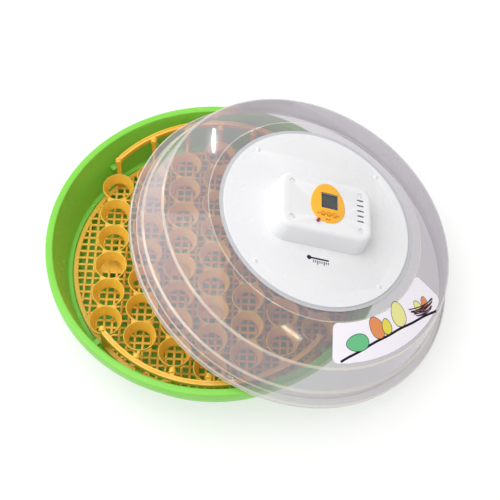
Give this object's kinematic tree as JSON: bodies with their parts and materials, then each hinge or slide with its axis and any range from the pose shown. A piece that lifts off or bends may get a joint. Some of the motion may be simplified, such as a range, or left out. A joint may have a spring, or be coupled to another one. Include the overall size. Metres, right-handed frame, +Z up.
{
  "type": "egg incubator",
  "caption": "Round still-air egg incubator: a bowl with a mesh tray and linked rocking rows of egg cups, and a clear domed lid with heater and control box leaning on it.",
  "frame": {"origin": "centre of the underside of the bowl's centre pad, on the surface it stands on", "axes": "+Z up; +Y along the egg rows, to the back; +X across the rows, towards the side where the lid leans"},
  "size_m": [0.6797, 0.5664, 0.2525],
  "materials": {
    "bowl_plastic": "moulded, satin gloss",
    "foot_rubber": "moulded",
    "tray_plastic": "moulded, satin",
    "heater_sheath": "drawn tube",
    "ceramic": "fired ceramic",
    "dome_clear": "clear moulded",
    "seal_grey": "soft, matt",
    "white_plastic": "moulded, satin",
    "screw_steel": "plated",
    "clip_steel": "pressed",
    "reflector_sheet": "bright rolled",
    "black_plastic": "moulded",
    "board_green": "solder mask",
    "relay_blue": "moulded",
    "terminal_green": "moulded",
    "lcd_cell": "grey-green display",
    "bezel_yellow": "moulded, gloss",
    "pane_clear": "clear",
    "led_red": "tinted",
    "label_vinyl": "printed vinyl",
    "print_ink": "pad print",
    "button_amber": "moulded"
  },
  "bodies": {
    "base": {"base_bowl": "bowl_plastic", "rubber_feet": "foot_rubber", "mesh_tray": "tray_plastic", "row_bearings": "tray_plastic"},
    "row_1": {"egg_row_1": "tray_plastic"},
    "row_2": {"egg_row_2": "tray_plastic"},
    "row_3": {"egg_row_3": "tray_plastic"},
    "row_4": {"egg_row_4": "tray_plastic"},
    "row_5": {"egg_row_5": "tray_plastic"},
    "row_6": {"egg_row_6": "tray_plastic"},
    "row_7": {"egg_row_7": "tray_plastic"},
    "link_bars": {"front_link_bar": "tray_plastic", "rear_link_bar": "tray_plastic"},
    "heater": {"heater_tube": "heater_sheath", "heater_end_caps": "ceramic"},
    "lid": {"lid_dome": "dome_clear", "disc_seal": "seal_grey", "top_disc": "white_plastic", "disc_screws": "screw_steel", "heater_pan": "white_plastic", "heater_clips": "clip_steel", "reflector": "reflector_sheet", "temperature_probe": "clip_steel", "thermal_cutout": "black_plastic", "control_box_base": "white_plastic", "control_box_cover": "white_plastic", "box_screws": "screw_steel", "circuit_board": "board_green", "power_supply": "black_plastic", "relay": "relay_blue", "terminal_block": "terminal_green", "display_board": "board_green", "lcd_module": "lcd_cell", "tact_switches": "black_plastic", "display_bezel": "bezel_yellow", "lcd_window": "pane_clear", "status_led": "led_red", "cable_gland": "black_plastic", "label_sticker": "label_vinyl", "range_mark": "print_ink"},
    "button_menu": {"button_menu": "button_amber"},
    "button_up": {"button_up": "button_amber"},
    "button_down": {"button_down": "button_amber"}
  },
  "joints": [
    {"name": "row_tilt", "type": "hinge", "parent": "base", "child": "row_4", "pos_m": [0, 0, 0.038], "axis": [0, 1, 0], "range_deg": [-20, 20]},
    {"name": "row_1_tilt", "type": "hinge", "parent": "base", "child": "row_1", "pos_m": [-0.174, 0, 0.038], "axis": [0, 1, 0], "range_deg": [-20, 20]},
    {"name": "row_2_tilt", "type": "hinge", "parent": "base", "child": "row_2", "pos_m": [-0.116, 0, 0.038], "axis": [0, 1, 0], "range_deg": [-20, 20]},
    {"name": "row_3_tilt", "type": "hinge", "parent": "base", "child": "row_3", "pos_m": [-0.058, 0, 0.038], "axis": [0, 1, 0], "range_deg": [-20, 20]},
    {"name": "row_5_tilt", "type": "hinge", "parent": "base", "child": "row_5", "pos_m": [0.058, 0, 0.038], "axis": [0, 1, 0], "range_deg": [-20, 20]},
    {"name": "row_6_tilt", "type": "hinge", "parent": "base", "child": "row_6", "pos_m": [0.116, 0, 0.038], "axis": [0, 1, 0], "range_deg": [-20, 20]},
    {"name": "row_7_tilt", "type": "hinge", "parent": "base", "child": "row_7", "pos_m": [0.174, 0, 0.038], "axis": [0, 1, 0], "range_deg": [-20, 20]},
    {"name": "link_level", "type": "hinge", "parent": "row_4", "child": "link_bars", "pos_m": [0, 0, 0.095], "axis": [0, 1, 0], "range_deg": [-20, 20]},
    {"name": "lid_swing", "type": "hinge", "parent": "base", "child": "heater", "pos_m": [0.07832, 0, 0.1843], "axis": [0, -1, 0], "range_deg": [0, 194.19]},
    {"name": "lid_level", "type": "hinge", "parent": "heater", "child": "lid", "pos_m": [0.15424, 0, 0.1651], "axis": [0, -1, 0], "range_deg": [-175.66, 0.01]},
    {"name": "button_menu_press", "type": "slide", "parent": "lid", "child": "button_menu", "axis": [-0.318, 0, -0.9481], "range_m": [0, 0.001], "stiffness_N_per_m": 400, "springref_m": -0.001},
    {"name": "button_up_press", "type": "slide", "parent": "lid", "child": "button_up", "axis": [-0.318, 0, -0.9481], "range_m": [0, 0.001], "stiffness_N_per_m": 400, "springref_m": -0.001},
    {"name": "button_down_press", "type": "slide", "parent": "lid", "child": "button_down", "axis": [-0.318, 0, -0.9481], "range_m": [0, 0.001], "stiffness_N_per_m": 400, "springref_m": -0.001}
  ],
  "couplings": [
    {"joint": "row_1_tilt", "follows": "row_tilt", "ratio": 1},
    {"joint": "row_2_tilt", "follows": "row_tilt", "ratio": 1},
    {"joint": "row_3_tilt", "follows": "row_tilt", "ratio": 1},
    {"joint": "row_5_tilt", "follows": "row_tilt", "ratio": 1},
    {"joint": "row_6_tilt", "follows": "row_tilt", "ratio": 1},
    {"joint": "row_7_tilt", "follows": "row_tilt", "ratio": 1},
    {"joint": "link_level", "follows": "row_tilt", "ratio": -1},
    {"joint": "lid_level", "follows": "lid_swing", "ratio": -0.90453}
  ]
}
